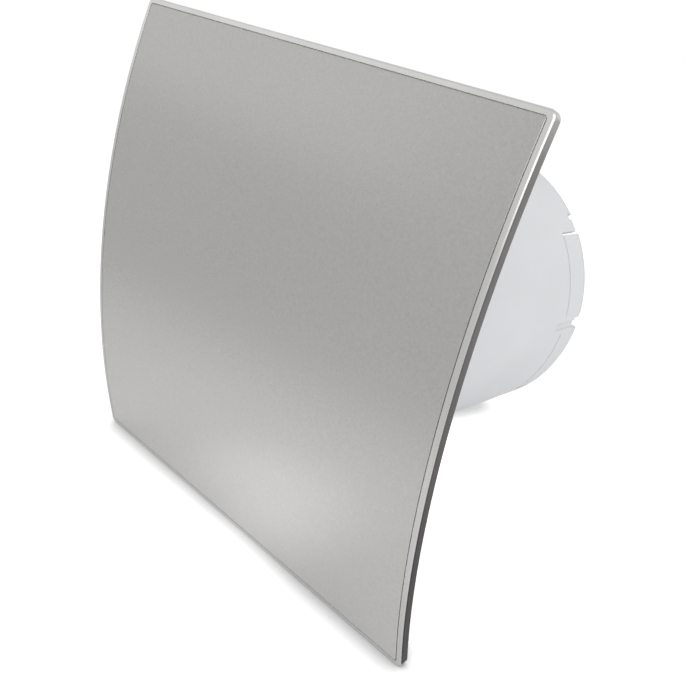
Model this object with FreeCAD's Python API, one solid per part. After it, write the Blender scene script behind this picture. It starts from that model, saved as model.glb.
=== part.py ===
import FreeCAD, Part
import math
import os

# Wall-mounted bathroom extractor fan for a 100 mm round duct.
# Frame: +X to the right seen from the room, +Y into the wall along the duct,
# +Z up.  Origin: the duct axis at the wall plane.  Millimetres.

# ---------------------------------------------------------------- dimensions
# front panel, bent about a horizontal axis, bulging towards the room
PANEL_W = 158.0            # width
PANEL_H = 160.4            # height, straight chord at the sharp end edges before rounding
PANEL_SAG = 11.5           # how far mid height stands proud of the end edges
PANEL_T = 3.0              # carrier thickness
PANEL_ZC = -1.0            # the panel's centre lies 1 mm under the duct axis
PANEL_EDGE_Y = -27.6       # front face at the panel's top and bottom edges
PANEL_CORNER_R = 2.4
RIM_W = 1.8                # polished rim round the steel sheet
RECESS_D = 0.7
FILM_T = 0.2
STEEL_T = 0.5
STEEL_GAP = 0.3

# snap posts of the panel and their sockets in the housing
POST_X, POST_Z = 49.5, 34.0
POST_R = 2.7
POST_END_Y = -5.0
SOCKET_R = 3.0

# housing
BASE_W, BASE_H = 110.0, 136.0
BASE_D = 16.0
BASE_R = 12.0
WALL = 2.0
SCREW_X, SCREW_Z = 46.0, 58.0
SCREW_HOLE_R = 2.25
SCREW_BOSS_R = 7.0
SCREW_CBORE_R = 5.2
SCREW_SEAT_Y = -4.0
DUCT_R = 49.0              # outside radius of the spigot
DUCT_T = 2.0
DUCT_END = 80.0            # the spigot's free rim
LIP_R = 51.5               # inlet radius of the bell mouth
VANE_T = 2.2
MOUNT_R = 22.0
MOUNT_Y0, MOUNT_Y1 = 9.5, 12.0
FOOT_R0, FOOT_R1 = 45.6, 46.95   # feet of the motor carrier in the spigot
COLLAR_END = 10.0          # the duct pipe stops here
SOCKET_Y = -8.0            # the spigot's inner end, against the step in the housing

# terminal compartment in the housing's upper edge
TC_X0, TC_X1 = -14.0, 37.0
TC_Z0, TC_Z1 = 52.0, 66.0
GROMMET_X, GROMMET_Z = 31.0, 59.0
CABLE_R = 3.5
LEAD_R = 0.75

# motor
CORE_Y0, CORE_Y1 = 19.0, 32.0
CORE_W = 44.0
CORE_TOP, CORE_BOT = 19.0, -33.5
BORE_R = 13.0
ROTOR_R = 12.6
SHAFT_R = 1.5
BOLT_X = 17.5

# impeller
IMP_R = 45.0
HUB_R = 17.0
BLADES = 7

# back-draught shutter
RING_RO, RING_RI = 46.7, 44.2
RING_Y0, RING_Y1 = 46.1, 58.0
PIVOT_Y = 51.5
PIVOT_Z = (29.5, 4.5, -20.5)
FLAP_LEN = 22.6
FLAP_LEAN = 5.0

V = FreeCAD.Vector
os.makedirs("parts", exist_ok=True)


# ------------------------------------------------------------------- helpers
def box(x0, x1, y0, y1, z0, z1):
    return Part.makeBox(x1 - x0, y1 - y0, z1 - z0, V(x0, y0, z0))


def cyl_y(x, z, r, y0, y1):
    return Part.makeCylinder(r, y1 - y0, V(x, y0, z), V(0, 1, 0))


def cyl_x(y, z, r, x0, x1):
    return Part.makeCylinder(r, x1 - x0, V(x0, y, z), V(1, 0, 0))


def tube_y(x, z, ro, ri, y0, y1):
    return cyl_y(x, z, ro, y0, y1).cut(cyl_y(x, z, ri, y0 - 1, y1 + 1))


def revolve_y(pts):
    """Solid of revolution about the duct axis from (radius, y) points."""
    w = Part.makePolygon([V(r, y, 0) for r, y in pts] + [V(pts[0][0], pts[0][1], 0)])
    return Part.Face(w).revolve(V(0, 0, 0), V(0, 1, 0), 360)


def fuse(parts):
    s = parts[0]
    if len(parts) > 1:
        s = s.multiFuse(parts[1:])
    return s.removeSplitter()


def fillet_where(shape, r, test):
    edges = [e for e in shape.Edges if test(e)]
    return shape.makeFillet(r, edges) if edges else shape


def rounded_block(x0, x1, y0, y1, z0, z1, r):
    b = box(x0, x1, y0, y1, z0, z1)
    return fillet_where(b, r, lambda e: abs(e.tangentAt(e.FirstParameter).y) > 0.99)


def group(solids):
    out = []
    for s in solids:
        out.extend(s.Solids)
    return Part.makeCompound(out)


def smooth_path(points, radius_factor=0.45):
    """Straight runs joined by tangent arcs; each arc is as large as its runs allow."""
    pts = [V(*p) for p in points]
    edges = []
    cur = pts[0]
    radii = []
    for i in range(1, len(pts) - 1):
        a = pts[i - 1] - pts[i]
        b = pts[i + 1] - pts[i]
        la, lb = a.Length, b.Length
        a.normalize()
        b.normalize()
        turn = math.pi - a.getAngle(b)
        back = radius_factor * min(la, lb)
        rad = back / math.tan(turn / 2)
        radii.append(round(rad, 2))
        t0 = pts[i] + a * back
        t1 = pts[i] + b * back
        bis = (a + b)
        bis.normalize()
        mid_d = rad / math.cos(turn / 2) - rad
        mid = pts[i] + bis * mid_d
        edges.append(Part.LineSegment(cur, t0).toShape())
        edges.append(Part.Arc(t0, mid, t1).toShape())
        cur = t1
    edges.append(Part.LineSegment(cur, pts[-1]).toShape())
    return Part.Wire(edges), radii


def wire_lead(points, r, name):
    path, radii = smooth_path(points)
    d = V(*points[1]) - V(*points[0])
    d.normalize()
    prof = Part.Wire([Part.makeCircle(r, V(*points[0]), d)])
    s = path.makePipeShell([prof], True, True)
    if s.ShapeType != "Solid":
        s = s.Solids[0]
    print(name, "length %.1f volume %.1f expected %.1f radii %s"
          % (path.Length, s.Volume, math.pi * r * r * path.Length, radii))
    return s


made = {}


def keep(name, shape, n=None):
    shape = shape.copy()
    if not shape.isValid():
        print("INVALID", name)
    k = len(shape.Solids)
    if n is not None and k != n:
        print("SOLID COUNT", name, k, "expected", n)
    made[name] = shape
    shape.exportStep("parts/%s.step" % name)


# --------------------------------------------------------------- front panel
HALF = PANEL_H / 2
PANEL_R = (HALF ** 2 + PANEL_SAG ** 2) / (2 * PANEL_SAG)      # front radius
PANEL_YC = PANEL_EDGE_Y - PANEL_SAG + PANEL_R                 # bend axis
HALF_ANGLE = math.degrees(math.asin(HALF / PANEL_R))
BACK_R = PANEL_R - PANEL_T


def arc_point(x, r, a):
    t = math.radians(a)
    return V(x, PANEL_YC - r * math.cos(t), PANEL_ZC + r * math.sin(t))


def arc_plate(r_in, r_out, a0, a1, x0, x1):
    """Plate bent about the panel's axis, between two radii and two angles."""
    am = 0.5 * (a0 + a1)
    e = [Part.Arc(arc_point(x0, r_out, a0), arc_point(x0, r_out, am), arc_point(x0, r_out, a1)).toShape(),
         Part.LineSegment(arc_point(x0, r_out, a1), arc_point(x0, r_in, a1)).toShape(),
         Part.Arc(arc_point(x0, r_in, a1), arc_point(x0, r_in, am), arc_point(x0, r_in, a0)).toShape(),
         Part.LineSegment(arc_point(x0, r_in, a0), arc_point(x0, r_out, a0)).toShape()]
    return Part.Face(Part.Wire(e)).extrude(V(x1 - x0, 0, 0))


def radius_of(p):
    return math.hypot(p.y - PANEL_YC, p.z - PANEL_ZC)


def bent_sheet(r_in, r_out, half_angle, half_w, corner_r):
    s = arc_plate(r_in, r_out, -half_angle, half_angle, -half_w, half_w)
    t = r_out - r_in

    def corner(e):
        return (len(e.Vertexes) == 2 and abs(e.Length - t) < 1e-4
                and abs(radius_of(e.Vertexes[0].Point) - radius_of(e.Vertexes[1].Point)) > 0.5 * t)
    return fillet_where(s, corner_r, corner)


carrier = bent_sheet(BACK_R, PANEL_R, HALF_ANGLE, PANEL_W / 2, PANEL_CORNER_R)


def front_rim(e):
    return all(abs(radius_of(v.Point) - PANEL_R) < 1e-3 for v in e.Vertexes) and len(e.Vertexes) == 2


def back_rim(e):
    return all(abs(radius_of(v.Point) - BACK_R) < 1e-3 for v in e.Vertexes) and len(e.Vertexes) == 2


carrier = fillet_where(carrier, 0.8, front_rim)
carrier = fillet_where(carrier, 0.3, back_rim)
rim_angle = math.degrees(RIM_W / PANEL_R)
recess = bent_sheet(PANEL_R - RECESS_D, PANEL_R + 2.0, HALF_ANGLE - rim_angle, PANEL_W / 2 - RIM_W, 1.0)
carrier = carrier.cut(recess)

RIB = 1.5
pieces = [carrier]
for sx in (-1, 1):
    pieces.append(arc_plate(BACK_R - RIB, BACK_R + 0.3, -11.0, 11.0, sx * POST_X - 0.8, sx * POST_X + 0.8))
    pieces.append(arc_plate(BACK_R - RIB, BACK_R + 0.3, -15.0, 15.0, sx * 73.0 - 0.7, sx * 73.0 + 0.7))
for a in (-15.0, -7.14, 7.14, 15.0):
    da = math.degrees(0.7 / BACK_R)
    hw = 73.0 if abs(a) > 10 else POST_X
    pieces.append(arc_plate(BACK_R - RIB, BACK_R + 0.3, a - da, a + da, -hw, hw))
for sx in (-1, 1):
    for sz in (-1, 1):
        px, pz = sx * POST_X, sz * POST_Z
        post = cyl_y(px, pz, POST_R, -34.0, POST_END_Y - 1.6)
        tip = Part.makeCone(POST_R, 1.7, 1.6, V(px, POST_END_Y - 1.6, pz), V(0, 1, 0))
        neck = tube_y(px, pz, POST_R + 1, POST_R - 0.45, POST_END_Y - 8.6, POST_END_Y - 5.2)
        post = post.fuse(tip).cut(neck)
        slit = box(px - 0.5, px + 0.5, POST_END_Y - 12.0, POST_END_Y + 1, pz - 4, pz + 4)
        base = Part.makeCone(4.6, 3.6, 3.0, V(px, -34.0, pz), V(0, 1, 0))
        root = cyl_y(px, pz, 4.6, -35.4, -34.0)
        pieces += [post.cut(slit), base, root]
carrier = fuse(pieces)
keep("panel_carrier", carrier, 1)

film_half = HALF_ANGLE - rim_angle - math.degrees(1.2 / PANEL_R)
keep("adhesive_film", bent_sheet(PANEL_R - RECESS_D, PANEL_R - RECESS_D + FILM_T, film_half,
                                 PANEL_W / 2 - RIM_W - 1.2, 2.0), 1)
steel_half = HALF_ANGLE - rim_angle - math.degrees(STEEL_GAP / PANEL_R)
keep("steel_face", bent_sheet(PANEL_R - STEEL_T, PANEL_R, steel_half,
                              PANEL_W / 2 - RIM_W - STEEL_GAP, 0.7), 1)

# ------------------------------------------------------------------- housing
hw, hh = BASE_W / 2, BASE_H / 2
shell = rounded_block(-hw, hw, -BASE_D, 0, -hh, hh, BASE_R)
shell = fillet_where(shell, 1.2, lambda e: all(abs(v.Point.y + BASE_D) < 1e-6 for v in e.Vertexes)
                     and len(e.Vertexes) == 2)
shell = shell.cut(rounded_block(-hw + WALL, hw - WALL, -BASE_D + WALL, 1, -hh + WALL, hh - WALL, BASE_R - WALL))
h = [shell, cyl_y(0, 0, DUCT_R, -BASE_D, DUCT_END)]
# outside of the bell mouth
h.append(revolve_y([(0, -BASE_D), (53.4, -BASE_D), (53.4, -BASE_D + 2.4), (DUCT_R, -6.5), (0, -6.5)]))
# wall-screw bosses, panel sockets
for sx in (-1, 1):
    for sz in (-1, 1):
        h.append(cyl_y(sx * SCREW_X, sz * SCREW_Z, SCREW_BOSS_R, -BASE_D + 0.5, 0))
        h.append(cyl_y(sx * POST_X, sz * POST_Z, 4.4, -BASE_D + 0.5, -3.0))
# stiffening ribs between the spigot and the skirt
for x0, x1, z0, z1 in ((49, hw - 1, -0.8, 0.8), (-hw + 1, -49, -0.8, 0.8), (-0.8, 0.8, -hh + 1, -49),
                       (-30.8, -29.2, -hh + 1, -38), (29.2, 30.8, -hh + 1, -38),
                       (-30.8, -29.2, 38, hh - 1)):
    h.append(box(x0, x1, -BASE_D + 1, -3.0, z0, z1))
# terminal compartment: walls and floor
h.append(box(TC_X0 - WALL, TC_X1 + WALL + 1.0, -BASE_D + 0.5, 0, TC_Z0 - 2.0, hh - 1.0))
# lead conduit outside the spigot wall
h.append(rounded_block(-9.3, 0.3, -12, COLLAR_END, 40.0, 53.6, 1.5))
house = fuse(h)

# bores and hollows
bell = [(0, -BASE_D - 1), (LIP_R, -BASE_D - 1), (LIP_R, -BASE_D)]
for k in range(1, 9):
    t = math.radians(90.0 * k / 8)
    bell.append((LIP_R - (LIP_R - (DUCT_R - DUCT_T)) * math.sin(t) , -BASE_D + 5.5 * (1 - math.cos(t))))
bell += [(DUCT_R - DUCT_T, DUCT_END + 1), (0, DUCT_END + 1)]
cuts = [revolve_y(bell)]
for sx in (-1, 1):
    for sz in (-1, 1):
        cuts.append(cyl_y(sx * SCREW_X, sz * SCREW_Z, SCREW_CBORE_R, -BASE_D - 1, SCREW_SEAT_Y))
        cuts.append(cyl_y(sx * SCREW_X, sz * SCREW_Z, SCREW_HOLE_R, -BASE_D - 1, 1))
        cuts.append(cyl_y(sx * POST_X, sz * POST_Z, SOCKET_R, -BASE_D - 1, 1))
cuts.append(box(TC_X0, TC_X1, -BASE_D - 1, -2.0, TC_Z0, TC_Z1))
cuts.append(cyl_y(GROMMET_X, GROMMET_Z, 5.0, -3, 1))
cuts.append(cyl_y(GROMMET_X, GROMMET_Z, 6.6, -1.0, 1))
# lead way: through the spigot wall, along the conduit, into the compartment
cuts.append(box(-7.5, -1.5, 6.6, 9.2, 44.0, 51.8))
cuts.append(box(-7.5, -1.5, -9.0, 9.2, 49.2, 51.8))
cuts.append(box(-7.5, -1.5, -9.0, -2.0, 49.2, 53.0))
house = house.cut(Part.makeCompound(cuts[:1]))
for c in cuts[1:]:
    house = house.cut(c)

# rim: lead-in taper and the slots for the shutter's snap tongues
taper = revolve_y([(DUCT_R - 0.75, DUCT_END), (DUCT_R, DUCT_END - 2.5), (DUCT_R + 2, DUCT_END - 2.5),
                   (DUCT_R + 2, DUCT_END + 1), (DUCT_R - 0.75, DUCT_END + 1)])
house = house.cut(taper)


def wedge(a0, a1, y0, y1, r0=DUCT_R - DUCT_T - 1.0, r1=DUCT_R + 1.0, y0b=None):
    """Sector of a ring between two angles (degrees from +X towards +Z)."""
    pts = []
    n = 6
    for k in range(n + 1):
        t = math.radians(a0 + (a1 - a0) * k / n)
        pts.append(V(r1 * math.cos(t), y0, r1 * math.sin(t)))
    for k in range(n, -1, -1):
        t = math.radians(a0 + (a1 - a0) * k / n)
        pts.append(V(r0 * math.cos(t), y0, r0 * math.sin(t)))
    return Part.Face(Part.makePolygon(pts + [pts[0]])).extrude(V(0, y1 - y0, 0))


rim_cuts = []
for mirror in (False, True):
    def ang(a):
        return 180.0 - a if mirror else a

    def w(a0, a1, y0, y1, **k):
        b0, b1 = sorted((ang(a0), ang(a1)))
        rim_cuts.append(wedge(b0, b1, y0, y1, **k))
    # open notch at mid height, with a shallow channel running in from it
    w(-2.5, 2.3, DUCT_END - 4.9, DUCT_END + 2)
    w(-3.5, 3.4, DUCT_END - 1.2, DUCT_END + 2)
    w(-1.9, 1.2, DUCT_END - 16.5, DUCT_END - 4.0, r0=DUCT_R - 0.6)
    for s in (1, -1):
        # cut-back tongue with a slit on each side
        w(s * 38.4, s * 44.2, DUCT_END - 2.5, DUCT_END + 2)
        w(s * 44.0, s * 46.4, DUCT_END - 3.9, DUCT_END + 2)
        w(s * 37.7, s * 38.7, DUCT_END - 11.9, DUCT_END + 2)
        # groove that joins the slits and lets the long tab flex
        w(s * 4.0, s * 37.8, DUCT_END - 11.9, DUCT_END - 11.3, r0=DUCT_R - 0.3)
for c in rim_cuts:
    house = house.cut(c)

# the moulding comes in two: the wall box with the inlet, and the spigot, which
# plugs into a socket ring in the wall box up to a step behind the bell mouth
big = 200.0
front_half = box(-big, big, -big, 0, -big, big)
back_half = box(-big, big, 0, big, -big, big)
spigot = house.common(back_half).cut(cyl_y(0, 0, DUCT_R - DUCT_T - 0.01, -1, big))
# keep only the spigot and its conduit behind the wall plane
spigot = spigot.fuse(tube_y(0, 0, DUCT_R, DUCT_R - DUCT_T, SOCKET_Y, 0.5))
seats = [wedge(a - 9, a + 9, RING_Y0 - 1.9, RING_Y0 - 0.1, r0=45.4, r1=DUCT_R - 1.0) for a in (45, 135, 225, 315)]
# stop collar for the duct; its foot and the conduit's sit in a shallow recess
# of the wall box, so nothing overhangs the box's back face
spigot = fuse([spigot, tube_y(0, 0, DUCT_R + 0.6, DUCT_R - 1.0, -0.9, COLLAR_END),
               rounded_block(-9.3, 0.3, -0.9, 1.0, 48.5, 53.6, 1.5)] + seats)
# the leads pass through the tube's wall and along the conduit
spigot = spigot.cut(box(-7.5, -1.5, 6.6, 9.2, 44.0, 51.8)).cut(box(-7.5, -1.5, -1.5, 9.2, 49.2, 51.8))
keep("spigot", spigot, 1)

wallbox = house.common(front_half)
wallbox = fuse([wallbox, tube_y(0, 0, 51.2, 49.0, -12.0, 0)])
wallbox = wallbox.cut(cyl_y(0, 0, DUCT_R + 0.05, SOCKET_Y - 0.02, 1))
wallbox = wallbox.cut(cyl_y(0, 0, DUCT_R + 0.9, -1.0, 1)).cut(rounded_block(-9.6, 0.6, -1.0, 1, 46.0, 53.9, 1.5))
wallbox = wallbox.cut(box(-7.5, -1.5, -9.0, 1.0, 49.2, 51.8)).cut(box(-7.5, -1.5, -9.0, -2.0, 49.2, 53.0))

# bosses of the cord clamp and of the cover screw
CL_X, CL_Z = 23.0, (54.3, 63.7)
b = [wallbox]
for z in CL_Z:
    b.append(cyl_y(CL_X, z, 2.2, -7.0, -1.0))
COVER_SX, COVER_SZ = -10.6, 59.0
b.append(cyl_y(COVER_SX, COVER_SZ, 2.9, -BASE_D, -1.0))
wallbox = fuse(b)
for z in CL_Z:
    wallbox = wallbox.cut(cyl_y(CL_X, z, 1.15, -8, -1.5))
wallbox = wallbox.cut(cyl_y(COVER_SX, COVER_SZ, 1.25, -BASE_D - 1, -5))
keep("housing", wallbox, 1)

# motor carrier: plate with screw bosses on four vanes, whose feet bear on the
# spigot's inner wall
m = [cyl_y(0, 0, MOUNT_R, MOUNT_Y0, MOUNT_Y1)]
for k in range(4):
    a = 45 + 90 * k
    arm = box(MOUNT_R - 3.0, FOOT_R0 + 0.6, MOUNT_Y0, 14.5, -VANE_T / 2, VANE_T / 2)
    gus = Part.Face(Part.makePolygon([V(FOOT_R0 + 0.6, MOUNT_Y0, -VANE_T / 2), V(34.0, MOUNT_Y0, -VANE_T / 2),
                                      V(44.0, 30.0, -VANE_T / 2), V(FOOT_R0 + 0.6, 30.0, -VANE_T / 2),
                                      V(FOOT_R0 + 0.6, MOUNT_Y0, -VANE_T / 2)])).extrude(V(0, 0, VANE_T))
    v = arm.fuse(gus)
    v.rotate(V(0, 0, 0), V(0, 1, 0), a)
    m.append(v)
    m.append(tube_y(0, 0, FOOT_R1, FOOT_R0, MOUNT_Y0, 30.0).common(wedge(a - 9, a + 9, 0, 40, r0=40.0)))
for sx in (-1, 1):
    m.append(cyl_y(sx * BOLT_X, 0, 4.0, MOUNT_Y0, 14.0))
mount = fuse(m)
mount = mount.cut(cyl_y(0, 0, 6.2, 0, 20))
for sx in (-1, 1):
    mount = mount.cut(cyl_y(sx * BOLT_X, 0, 1.5, 0, 15))
keep("motor_carrier", mount, 1)

# ------------------------------------------------- terminal compartment parts
POLE_Z = (55.8, 62.2)
block = rounded_block(0.0, 18.0, -13.0, -2.0, 52.6, 65.4, 0.6)
for z in POLE_Z:
    block = block.cut(box(-1, 19, -8.0, -4.0, z - 2.0, z + 2.0))
    for x in (5.0, 13.0):
        block = block.cut(cyl_y(x, z, 2.0, -14, -7.9))
block = block.cut(box(8.2, 9.8, -14, -11.4, 52, 66))
keep("terminal_block", block, 1)
clamps, tscrews = [], []
for z in POLE_Z:
    c = box(2.0, 16.0, -7.9, -4.1, z - 1.9, z + 1.9).cut(cyl_x(-6.0, z, 1.3, 1, 17))
    for x in (5.0, 13.0):
        c = c.cut(cyl_y(x, z, 1.25, -9, -6))
        s = cyl_y(x, z, 1.2, -9.4, -7.35).fuse(cyl_y(x, z, 1.7, -10.8, -9.4))
        s = s.cut(box(x - 2, x + 2, -11, -10.2, z - 0.3, z + 0.3))
        tscrews.append(s)
    clamps.append(c)
keep("terminal_clamps", group(clamps), 2)
keep("terminal_screws", group(tscrews), 4)

cover = rounded_block(TC_X0 - 1.8, TC_X1 + 2.2, -17.5, -BASE_D, TC_Z0 - 0.9, TC_Z1 + 0.6, 2.0)
cover = fillet_where(cover, 0.5, lambda e: all(abs(v.Point.y + 17.5) < 1e-6 for v in e.Vertexes)
                     and len(e.Vertexes) == 2)
cover = cover.cut(cyl_y(COVER_SX, COVER_SZ, 1.6, -18, -15))
# ribs that locate the cover inside the opening
cover = cover.fuse([box(-6.0, 36.0, -BASE_D, -14.6, 52.4, 53.4), box(-6.0, 36.0, -BASE_D, -14.6, 64.6, 65.6)]).removeSplitter()
keep("terminal_cover", cover, 1)


def pan_screw(x, z, y_seat, head_r, head_h, shank_r, y_tip, slot=0.6):
    """Pan-head screw driven in the +Y direction, with a cross recess."""
    s = cyl_y(x, z, head_r, y_seat - head_h, y_seat)
    s = fillet_where(s, head_h * 0.45, lambda e: abs(e.BoundBox.YMin - (y_seat - head_h)) < 1e-6
                     and abs(e.BoundBox.YMax - (y_seat - head_h)) < 1e-6)
    s = s.fuse(cyl_y(x, z, shank_r, y_seat - 0.1, y_tip))
    d = head_r * 0.62
    top = y_seat - head_h
    s = s.cut(box(x - d, x + d, top - 1, top + head_h * 0.55, z - slot / 2, z + slot / 2))
    s = s.cut(box(x - slot / 2, x + slot / 2, top - 1, top + head_h * 0.55, z - d, z + d))
    return s.removeSplitter()


keep("terminal_cover_screw", pan_screw(COVER_SX, COVER_SZ, -17.5, 2.5, 1.3, 1.2, -6.5), 1)
bar = rounded_block(CL_X - 2.0, CL_X + 2.0, -9.0, -7.0, 52.3, 65.7, 0.8)
for z in CL_Z:
    bar = bar.cut(cyl_y(CL_X, z, 1.3, -10, -6))
bar = bar.cut(cyl_x(-6.2, 59.0, 1.6, CL_X - 3, CL_X + 3))
keep("cord_clamp_bar", bar, 1)
keep("cord_clamp_screws", group([pan_screw(CL_X, z, -9.0, 1.9, 1.1, 1.1, -3.2, 0.5) for z in CL_Z]), 2)
g = fuse([cyl_y(GROMMET_X, GROMMET_Z, 5.9, -3.4, -2.0), cyl_y(GROMMET_X, GROMMET_Z, 4.95, -2.2, -0.9),
          cyl_y(GROMMET_X, GROMMET_Z, 6.2, -1.0, -0.1),
          Part.makeCone(4.4, 5.2, 2.2, V(GROMMET_X, -5.6, GROMMET_Z), V(0, 1, 0))])
g = g.cut(cyl_y(GROMMET_X, GROMMET_Z, CABLE_R, -7, 1))
keep("cable_grommet", g, 1)

# --------------------------------------------------------------------- motor
core = box(-CORE_W / 2, CORE_W / 2, CORE_Y0, CORE_Y1, CORE_BOT, CORE_TOP)
core = core.makeChamfer(3.0, [e for e in core.Edges if abs(e.tangentAt(e.FirstParameter).y) > 0.99])
core = core.cut(cyl_y(0, 0, BORE_R, 0, 60))
LIMB_Z0, LIMB_Z1 = CORE_BOT, -26.0
core = core.cut(box(-13.4, 13.4, 0, 60, LIMB_Z1, -17.6))
for sx in (-1, 1):
    core = core.cut(cyl_y(sx * BOLT_X, 0, 1.7, 0, 60))
    # bridge slots between the poles
    core = core.cut(box(min(sx * 12, sx * 14.2), max(sx * 12, sx * 14.2), 0, 60, -0.8, 0.8))
rings = []
for base_a in (0, 180):
    holes = []
    for a in (58, 92):
        hb = box(13.9, 15.9, CORE_Y0 - 1, CORE_Y1 + 1, -0.95, 0.95)
        hb.rotate(V(0, 0, 0), V(0, 1, 0), -(a + base_a))
        holes.append(hb)
    for hb in holes:
        core = core.cut(hb)
    bars = []
    ends = []
    for a in (58, 92):
        cb = box(14.0, 15.8, CORE_Y0 - 1.3, CORE_Y1 + 1.3, -0.85, 0.85)
        cb.rotate(V(0, 0, 0), V(0, 1, 0), -(a + base_a))
        bars.append(cb)
        t = math.radians(a + base_a)
        ends.append((14.9 * math.cos(t), 14.9 * math.sin(t)))
    (xa, za), (xb, zb) = ends
    L = math.hypot(xb - xa, zb - za)
    for y0, y1 in ((CORE_Y0 - 1.3, CORE_Y0), (CORE_Y1, CORE_Y1 + 1.3)):
        link = box(-0.6, L + 0.6, y0, y1, -0.9, 0.9)
        link.rotate(V(0, 0, 0), V(0, 1, 0), -math.degrees(math.atan2(zb - za, xb - xa)))
        link.translate(V(xa, 0, za))
        bars.append(link)
    rings.append(fuse(bars))
keep("stator_core", core, 1)
keep("shading_rings", group(rings), 2)

LZ = 0.5 * (LIMB_Z0 + LIMB_Z1)
LY = 0.5 * (CORE_Y0 + CORE_Y1)
lz = 0.5 * (LIMB_Z1 - LIMB_Z0)
ly = 0.5 * (CORE_Y1 - CORE_Y0)


def sleeve(x0, x1, hy, hz, r):
    s = box(x0, x1, LY - hy, LY + hy, LZ - hz, LZ + hz)
    return fillet_where(s, r, lambda e: abs(e.tangentAt(e.FirstParameter).x) > 0.99)


bob = sleeve(-13.2, 13.2, ly + 1.15, lz + 1.15, 0.8)
for s in (-1, 1):
    x0, x1 = sorted((s * 12.0, s * 13.2))
    fl = box(x0, x1, 12.4, 38.6, -41.0, -18.2)
    fl = fillet_where(fl, 2.5, lambda e: abs(e.tangentAt(e.FirstParameter).x) > 0.99)
    bob = bob.fuse(fl)
bob = bob.fuse(box(-13.2, -12.0, 32.5, 38.0, -19.5, -16.6).cut(box(-14, -11, 34.6, 36.0, -18.4, -16)))
bob = bob.cut(box(-14, 14, LY - ly - 0.15, LY + ly + 0.15, LZ - lz - 0.15, LZ + lz + 0.15)).removeSplitter()
keep("coil_bobbin", bob, 1)
wind = sleeve(-11.9, 11.9, 12.3, 10.1, 4.0).cut(sleeve(-13, 13, ly + 1.2, lz + 1.2, 0.8))
keep("coil_winding", wind, 1)
fuse_b = cyl_x(LY + 12.3 + 1.65, LZ, 1.6, -6.0, 6.0)
fuse_b = fillet_where(fuse_b, 0.7, lambda e: abs(e.BoundBox.XLength) < 1e-6)
keep("thermal_fuse", fuse_b, 1)


def strap(y0, y1, boss_y0, boss_y1, foot_y0, foot_y1):
    s = rounded_block(-22.0, 22.0, y0, y1, -6.5, 6.5, 6.0)
    s = s.fuse(cyl_y(0, 0, 5.6, boss_y0, boss_y1))
    for sx in (-1, 1):
        s = s.fuse(cyl_y(sx * BOLT_X, 0, 3.4, foot_y0, foot_y1))
    s = s.removeSplitter()
    s = s.cut(cyl_y(0, 0, 4.02, 0, 60))
    for sx in (-1, 1):
        s = s.cut(cyl_y(sx * BOLT_X, 0, 1.7, 0, 60))
        # lightening windows beside the boss
        s = s.cut(rounded_block(min(sx * 7.6, sx * 12.6), max(sx * 7.6, sx * 12.6), 0, 60, -3.0, 3.0, 1.2))
    return s


keep("front_bearing_bracket", strap(14.0, 16.0, 10.6, 16.0, 16.0, CORE_Y0), 1)
keep("rear_bearing_bracket", strap(36.0, 38.0, 36.0, 41.4, CORE_Y1, 36.0), 1)
keep("front_bearing_bush", tube_y(0, 0, 4.0, SHAFT_R + 0.03, 10.8, 16.0), 1)
keep("rear_bearing_bush", tube_y(0, 0, 4.0, SHAFT_R + 0.03, 36.0, 41.2), 1)


def long_screw(x):
    s = cyl_y(x, 0, 2.8, 38.0, 40.2)
    s = fillet_where(s, 0.9, lambda e: abs(e.BoundBox.YMin - 40.2) < 1e-6)
    s = s.fuse(cyl_y(x, 0, 1.45, 10.4, 38.1))
    s = s.cut(box(x - 1.7, x + 1.7, 39.1, 41, -0.35, 0.35)).cut(box(x - 0.35, x + 0.35, 39.1, 41, -1.7, 1.7))
    return s.removeSplitter()


keep("motor_screws", group([long_screw(BOLT_X), long_screw(-BOLT_X)]), 2)

# internal leads, coil to terminal block
for name, dx, sy, xc, pole in (("lead_live", -1.2, 36.2, -25.6, POLE_Z[1]), ("lead_neutral", 1.2, 33.6, -23.9, POLE_Z[0])):
    x = -4.5 + dx
    pts = [(-13.3, sy, -23.0), (-18.5, sy, -22.6), (xc, sy - 0.2, -17.0), (xc - 0.4, sy - 0.6, 0.0),
           (xc, sy - 1.0, 17.0), (-19.0 + dx, sy - 5.0, 28.5), (-9.5 + dx, sy - 14.0, 36.0), (x, 12.6 + 0.4 * dx, 41.6),
           (x, 8.0, 45.4), (x, 7.9, 50.45), (x, 3.9, 50.5), (x, -1.5, 50.5), (x, -5.4, 52.4)]
    if pole > 60:
        pts += [(x + 0.3, -6.2, 57.6), (x + 2.2, -6.0, pole - 0.6), (x + 4.8, -6.0, pole), (2.6, -6.0, pole)]
    else:
        pts += [(x + 1.3, -6.1, pole - 0.7), (x + 3.2, -6.0, pole), (2.6, -6.0, pole)]
    keep(name, wire_lead(pts, LEAD_R, name), 1)

# --------------------------------------------------------------------- rotor
rc = cyl_y(0, 0, ROTOR_R, CORE_Y0, CORE_Y1).cut(cyl_y(0, 0, SHAFT_R + 0.01, 0, 60))
cage = [tube_y(0, 0, 11.8, 7.4, CORE_Y0 - 2.0, CORE_Y0), tube_y(0, 0, 11.8, 7.4, CORE_Y1, CORE_Y1 + 2.0)]
for k in range(12):
    t = 2 * math.pi * k / 12
    x, z = 10.6 * math.cos(t), 10.6 * math.sin(t)
    rc = rc.cut(cyl_y(x, z, 1.0, 0, 60))
    cage.append(cyl_y(x, z, 0.95, CORE_Y0 - 1.0, CORE_Y1 + 1.0))
keep("rotor_core", rc, 1)
keep("rotor_cage", fuse(cage), 1)
shaft = cyl_y(0, 0, SHAFT_R, -13.4, 42.4)
shaft = fillet_where(shaft, 0.3, lambda e: e.BoundBox.YLength < 1e-6)
shaft = shaft.cut(box(1.1, 2.0, -14, 0.0, -2, 2))
keep("rotor_shaft", shaft, 1)
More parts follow.
